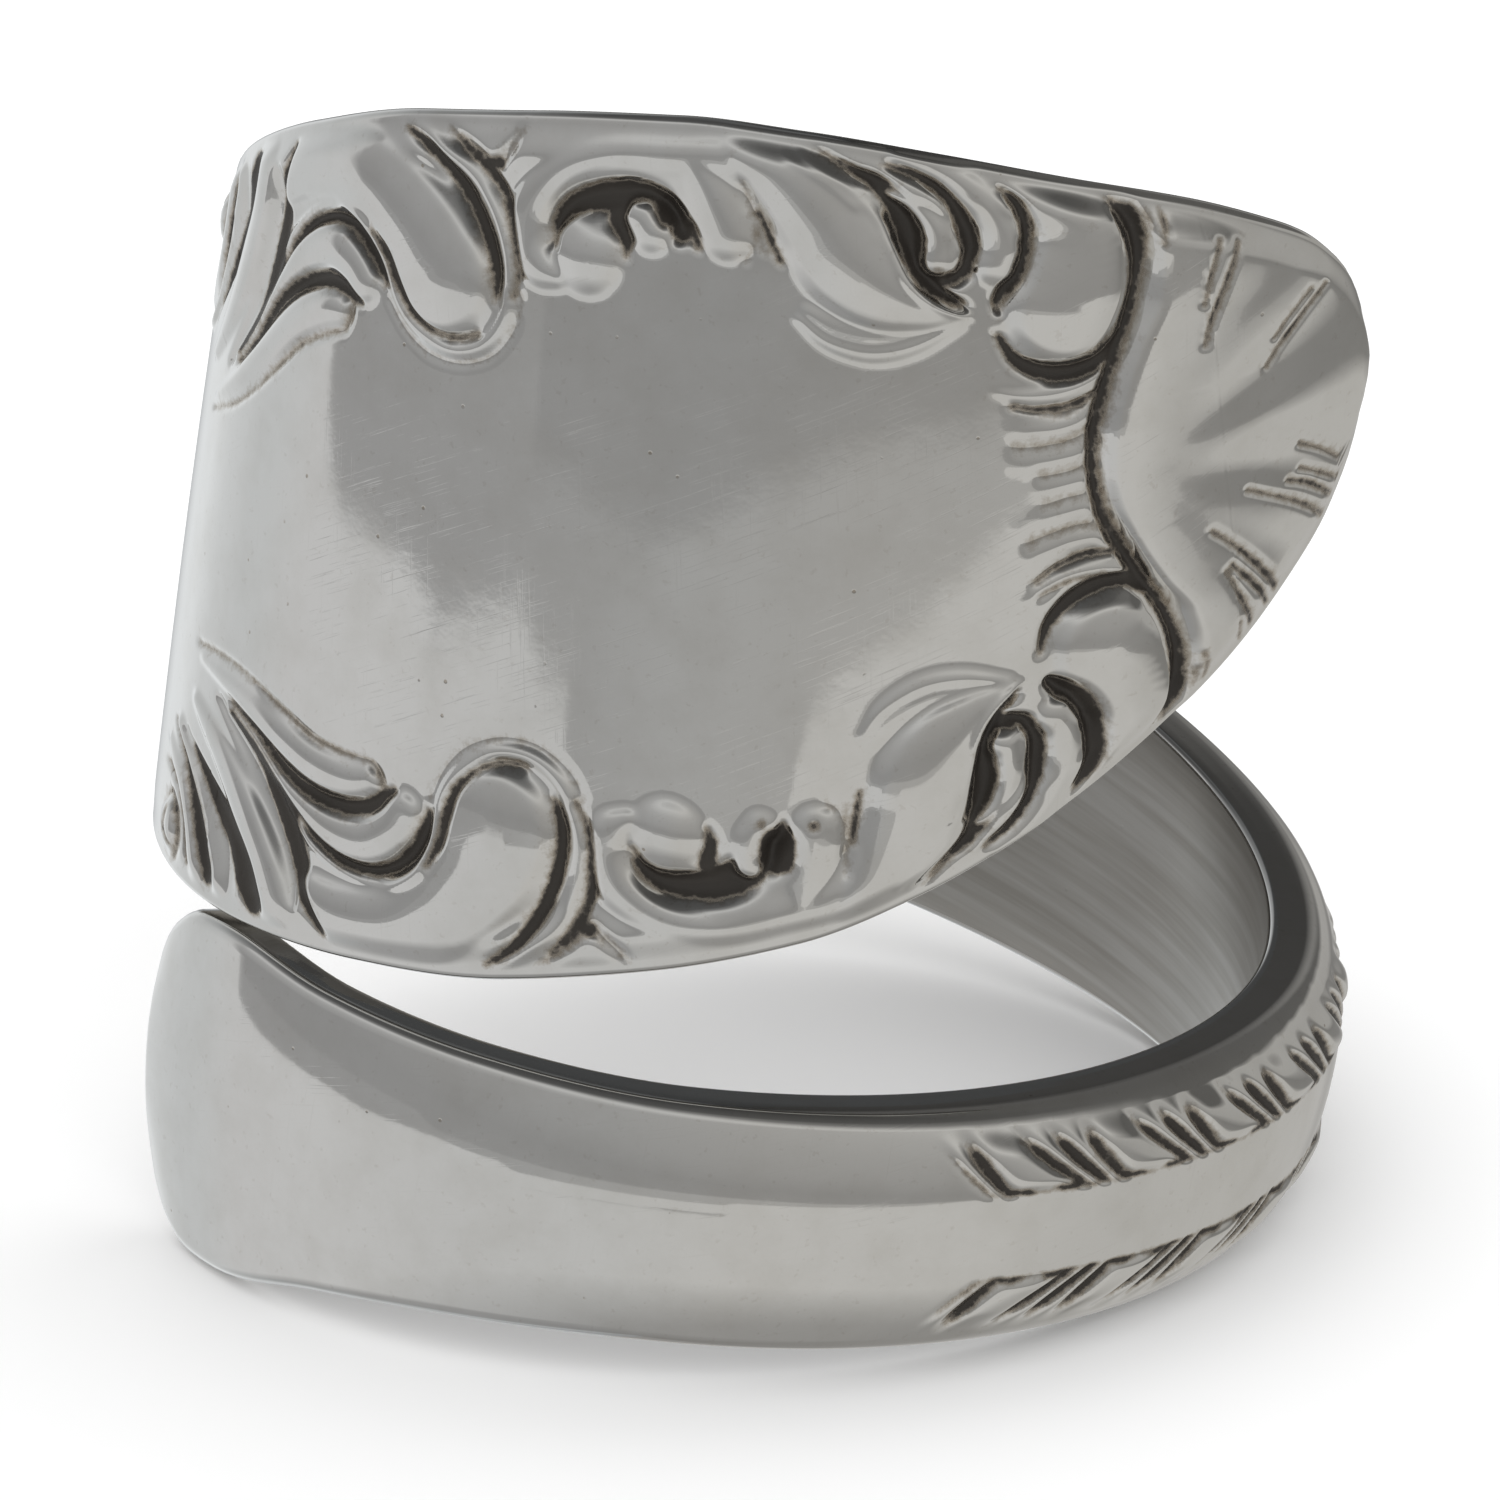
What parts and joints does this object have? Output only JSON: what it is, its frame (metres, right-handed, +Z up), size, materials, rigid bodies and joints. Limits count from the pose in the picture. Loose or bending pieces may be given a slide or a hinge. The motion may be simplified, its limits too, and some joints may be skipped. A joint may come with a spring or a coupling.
{
  "type": "spoon ring",
  "caption": "Open wrap-around ring bent from a spoon handle, with a wide scrolled panel, a shell tip and a plain flared end.",
  "frame": {"origin": "on the surface that the ring lies on, under the middle of its box", "axes": "+Z up, away from the surface; -Y to the front, where the wide panel is; +X to the right, towards the panel's tip"},
  "size_m": [0.0202, 0.0206, 0.0214],
  "materials": {
    "silver": "polished silver, oxidised dark in the recesses of the ornament"
  },
  "bodies": {
    "root": {"spoon_ring": "silver"}
  },
  "joints": []
}
